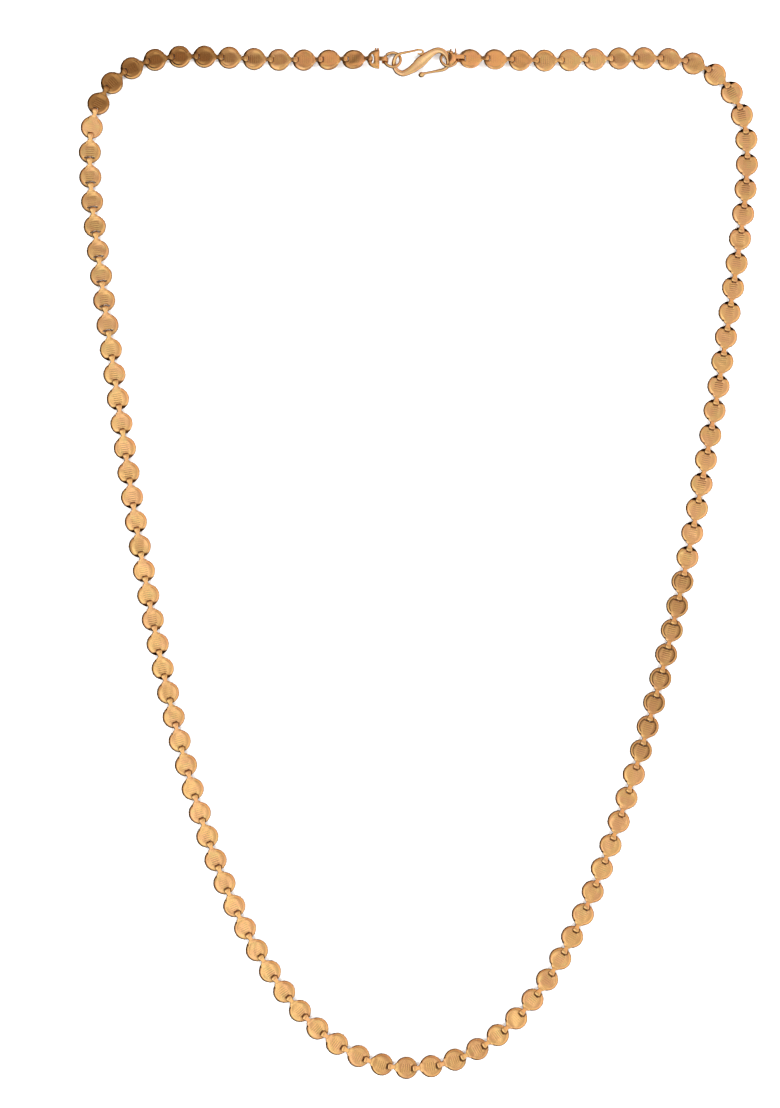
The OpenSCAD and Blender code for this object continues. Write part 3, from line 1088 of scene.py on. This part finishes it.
def spike_profile(width, length):
    """A spike from its foot in the coin's edge to its blunt tip: places and radii."""
    foot = HALF_CUT_Y - SPIKE_SUNK
    tip = foot + length
    return [(foot, width / 2), (foot + 0.4, width / 2 - 0.04), (tip - 0.1, SPIKE_TIP / 2 + 0.01),
            (tip - 0.03, SPIKE_TIP / 2 - 0.02), (tip, SPIKE_TIP / 4)]


def end_link_right():
    """The back half of a coin, with two spikes, on a strap bent into a flat loop."""
    start, end = math.acos(-HALF_CUT_X / ROUND_R), math.pi + math.asin(HALF_CUT_Y / ROUND_R)
    back = arc(start, end, HALF_SIDES)
    edge = divided([back[-1], (-HALF_CUT_X, -HALF_CUT_Y), back[0]], STEP)[1:]
    half = part_template(back + edge[:-1], None,
                         lambda u, v: u < -HALF_CUT_X - HALF_MARGIN and v > -HALF_CUT_Y + HALF_MARGIN)
    half.xyz = half.xyz * (-1, -1, 1) + (STRAP_HX - REACH, 0, STRAP_HZ - FIELD_MID)
    loop = round_box(2 * STRAP_HX, 2 * STRAP_HZ, STRAP_BEND, STRAP_BEND_STEPS, STEP)
    pieces = [(half.xyz, half.tris), skin(strip_rings(loop, STRAP_W, SHEET_T, closed=True), closed=True)]
    for x, z, width, length in SPIKES:
        pieces.append(peg(x + STRAP_HX - REACH, z, spike_profile(width, length)))
    x, y, _ = joint(COINS)
    return joined("end_strap", pieces, half, RING_TURN, (x - STRAP_HX, y, RING_MID_Z + STRAP_LIFT))


class Nodes:
    """A node tree that is built by short calls."""

    def __init__(self, tree):
        self.tree = tree
        tree.nodes.clear()

    def add(self, kind, inputs=None, **settings):
        node = self.tree.nodes.new(kind)
        for key, value in settings.items():
            setattr(node, key, value)
        for key, value in (inputs or {}).items():
            if isinstance(value, bpy.types.NodeSocket):
                self.tree.links.new(value, node.inputs[key])
            else:
                node.inputs[key].default_value = value
        return node

    def calc(self, operation, a, b=0.0, *c):
        inputs = dict(enumerate((a, b, *c)))
        return self.add("ShaderNodeMath", inputs, operation=operation).outputs[0]

    def times(self, a, b, *plus):
        """The product, and something added to it where that is given."""
        return self.calc("MULTIPLY_ADD" if plus else "MULTIPLY", a, b, *plus)

    def step(self, value, low, high, start=0.0, end=1.0):
        """A soft step from start to end as the value goes from low to high."""
        inputs = {"Value": value, "From Min": low, "From Max": high, "To Min": start, "To Max": end}
        return self.add("ShaderNodeMapRange", inputs, interpolation_type="SMOOTHSTEP").outputs[0]

    def mix(self, factor, a, b):
        """The colour a at factor 0 and b at factor 1."""
        return self.add("ShaderNodeMix", {0: factor, 6: a, 7: b}, data_type="RGBA").outputs[2]

    def noise(self, place, scale, detail):
        inputs = {"Vector": place, "Scale": scale, "Detail": detail}
        return self.add("ShaderNodeTexNoise", inputs).outputs["Fac"]

    def attribute(self, name):
        return self.add("ShaderNodeAttribute", attribute_name=name).outputs["Fac"]


def new_material(name):
    """An empty material, its nodes, and the place that its patterns follow."""
    material = bpy.data.materials.new(name)
    material.use_nodes = True
    nodes = Nodes(material.node_tree)
    return material, nodes, nodes.add("ShaderNodeTexCoord").outputs["Object"]


def finish_metal(nodes, color, roughness, height, bump):
    """A bare metal surface with fine unevenness."""
    normal = nodes.add("ShaderNodeBump", {"Height": height, "Distance": bump, "Strength": 1.0})
    metal = nodes.add("ShaderNodeBsdfPrincipled", {
        "Base Color": color, "Metallic": 1.0, "Roughness": roughness,
        "Normal": normal.outputs[0]})
    nodes.add("ShaderNodeOutputMaterial", {"Surface": metal.outputs[0]})


def coin_gold():
    """Stamped gold: soft rose and green patches, fine scratches, painted shade along the edges, at the
    bent corners, at the slot and beside the tongues, and darker lines and grooves.
    """
    material, nodes, place = new_material("coin_gold")
    rose = nodes.step(nodes.noise(place, *ROSE_PATCHES), *ROSE_STEP)
    green = nodes.step(nodes.noise(place, *GREEN_PATCHES), *GREEN_STEP)
    color = nodes.mix(nodes.times(rose, ROSE_SHARE), GOLD, ROSE_GOLD)
    color = nodes.mix(nodes.times(green, GREEN_SHARE), color, GREEN_GOLD)
    color = nodes.mix(nodes.attribute("tint"), color, OLD_GOLD)
    shade_and_darkening = nodes.attribute("shade_and_darkening")
    # Painted shade, and darker lines and grooves; near black where deepest
    color = nodes.mix(nodes.times(shade_and_darkening, SHADED_SHARE), color, SHADED_GOLD)
    color = nodes.mix(nodes.step(shade_and_darkening, *DARKEST_STEP), color, DARKEST)
    scratches = nodes.noise(place, *COIN_SCRATCHES)
    roughness = nodes.times(scratches, *COIN_ROUGHNESS)
    roughness = nodes.times(shade_and_darkening, DULL_ROUGHNESS, roughness)
    finish_metal(nodes, color, roughness, scratches, COIN_GRAIN)
    return material


def wire_gold():
    """Polished wire, a little paler and pinker than the coins."""
    material, nodes, place = new_material("wire_gold")
    rose = nodes.step(nodes.noise(place, *WIRE_PATCHES), *WIRE_STEP)
    color = nodes.mix(rose, WIRE_GOLD, WIRE_ROSE)
    scratches = nodes.noise(place, *WIRE_SCRATCHES)
    roughness = nodes.times(scratches, *WIRE_ROUGHNESS)
    finish_metal(nodes, color, roughness, scratches, WIRE_GRAIN)
    return material


def pale_floor():
    """Pale paper, with patches that hardly show."""
    material, nodes, place = new_material("pale_floor")
    color = nodes.mix(nodes.noise(place, *PAPER_PATCHES), PAPER, PALE_PAPER)
    paper = nodes.add("ShaderNodeBsdfPrincipled", {
        "Base Color": color, "Roughness": PAPER_ROUGHNESS, "Specular IOR Level": PAPER_GLOSS})
    nodes.add("ShaderNodeOutputMaterial", {"Surface": paper.outputs[0]})
    return material


def ceiling_light(nodes, px, py):
    """Where the soft box of the ceiling is, from 0 to 1, and its light."""
    box = nodes.times(nodes.step(px, *CEILING_LEFT), nodes.step(px, *CEILING_RIGHT, 1, 0))
    box = nodes.times(box, nodes.step(py, *CEILING_LOW))
    box = nodes.times(box, nodes.step(py, *CEILING_HIGH, 1, 0))
    left = nodes.calc("SUBTRACT", nodes.step(py, *LEFT_TURN, *LEFT_LIGHT), RIGHT_LIGHT)
    light = nodes.times(left, nodes.step(px, *CEILING_SEAM, 1, 0), RIGHT_LIGHT)
    return box, light


def wall_light(nodes, way, px, py):
    """The light of the pale walls."""
    x, y, z = way
    walls = nodes.times(x, WALL_SLOPE, 1.0)
    walls = nodes.times(y, -WALL_SLOPE, walls)
    out = nodes.calc("SQRT", nodes.calc("ADD", nodes.times(px, px), nodes.times(py, py)))
    walls = nodes.times(walls, nodes.step(out, *WALL_TOP))
    low = nodes.calc("ADD", nodes.step(x, *SKIRTING_X), nodes.step(y, *SKIRTING_Y))
    height = nodes.times(x, SKIRTING_SLOPE, z)
    return nodes.times(walls, nodes.step(height, *SKIRTING, low, 1.0))


def studio_light():
    """A room that only the metal mirrors. Diffuse rays meet a dim dusk, and the camera plain white."""
    world = bpy.data.worlds.new("studio")
    scene.world = world
    world.use_nodes = True
    nodes = Nodes(world.node_tree)
    way = nodes.add("ShaderNodeTexCoord").outputs["Generated"]
    way = nodes.add("ShaderNodeSeparateXYZ", {0: way}).outputs
    x, y, z = way
    up = nodes.calc("MAXIMUM", z, LOWEST)
    px = nodes.calc("DIVIDE", x, up)
    py = nodes.calc("DIVIDE", y, up)
    box, ceiling = ceiling_light(nodes, px, py)
    walls = wall_light(nodes, way, px, py)
    within = nodes.times(box, ceiling)
    outside = nodes.times(nodes.calc("SUBTRACT", 1.0, box), walls)
    light = nodes.calc("ADD", within, outside)
    tone = nodes.mix(nodes.step(px, *CEILING_SEAM), WHITE, WARM_CEILING)
    tone = nodes.mix(nodes.step(x, *WARM_X), tone, WARM_LEFT)
    tone = nodes.mix(nodes.step(py, *WARM_Y), tone, WARM_TOP)
    room, dusk, plain = (
        nodes.add("ShaderNodeBackground", {"Color": color, "Strength": strength}).outputs[0]
        for color, strength in ((tone, light), (DUSK, DUSK_LIGHT), (WHITE, 1.0)))
    path = nodes.add("ShaderNodeLightPath").outputs
    lit = nodes.add("ShaderNodeMixShader", {0: path["Is Diffuse Ray"], 1: room, 2: dusk})
    both = nodes.add("ShaderNodeMixShader", {0: path["Is Camera Ray"], 1: lit.outputs[0], 2: plain})
    nodes.add("ShaderNodeOutputWorld", {"Surface": both.outputs[0]})


def floor_lamps():
    """A ring of slanting lamps over the floor, which the metal doesn't mirror."""
    for k in range(LAMPS):
        lamp = bpy.data.lights.new(f"floor_lamp_{k}", "AREA")
        lamp.shape = "SQUARE"
        lamp.size = LAMP_SIZE
        lamp.energy = LAMP_POWER
        light = add_object(f"floor_lamp_{k}", lamp)
        angle = 2 * math.pi * k / LAMPS
        light.location = (LAMP_OUT * math.cos(angle), LAMP_OUT * math.sin(angle), LAMP_UP)
        light.rotation_euler = (-light.location).to_track_quat("-Z", "Y").to_euler()
        light.visible_glossy = False
        light.visible_camera = False


def lay_floor():
    """A square of paper that the metal doesn't mirror, against the white that the camera sees."""
    corners = [(FLOOR_HALF * x, FLOOR_HALF * y, cad_box[0][2])
               for x, y in ((-1, -1), (1, -1), (1, 1), (-1, 1))]
    mesh = bpy.data.meshes.new("floor")
    mesh.from_pydata(corners, [], [(0, 1, 2, 3)])
    floor = add_object("floor", mesh)
    mesh.materials.append(pale_floor())
    floor.visible_glossy = False


def set_camera():
    """Straight down over the middle of the photo's frame."""
    x = (PHOTO_W / 2 - ORIGIN_X) * PIXEL * MM
    y = (ORIGIN_Y - PHOTO_H / 2) * PIXEL * MM
    data = bpy.data.cameras.new("camera")
    data.lens = LENS
    data.sensor_width = SENSOR
    camera = add_object("camera", data)
    camera.location = (x, y, PHOTO_H * PIXEL * MM * LENS / SENSOR)
    scene.camera = camera


def dress(piece, material, slot, *nodes):
    """Gives a piece its metal, and tells the frame what it rides on and replaces."""
    piece.data.materials.append(material)
    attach(piece, "root")
    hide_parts(*nodes)


LINKS = {kind: Template(link_top_pattern(slot), link_under_pattern(slot))
         for kind, slot in SLOTS.items()}
coins_left = chain_piece("coins_left", 0, COINS // 2 - 1)
coins_right = chain_piece("coins_right", COINS // 2, COINS - 1)
strap = end_link_right()
end_coin = end_link_left()
ring_left = jump_ring("jump_ring_left", RING_LEFT, SEAM_LEFT)
ring_right = jump_ring("jump_ring_right", RING_RIGHT, SEAM_RIGHT)
hook = s_hook()

coin_metal = coin_gold()
wire_metal = wire_gold()
dress(coins_left, coin_metal, "coin_gold", "chain_left")
dress(coins_right, coin_metal, "coin_gold", "chain_right")
dress(end_coin, coin_metal, "coin_gold", "end_link_left")
dress(strap, coin_metal, "coin_gold", "end_link_right")
dress(ring_left, wire_metal, "wire_gold", "ring_left")
dress(ring_right, wire_metal, "wire_gold", "ring_right")
dress(hook, wire_metal, "wire_gold", "s_hook")
studio_light()
floor_lamps()
lay_floor()
set_camera()
scene.view_settings.view_transform = "Standard"
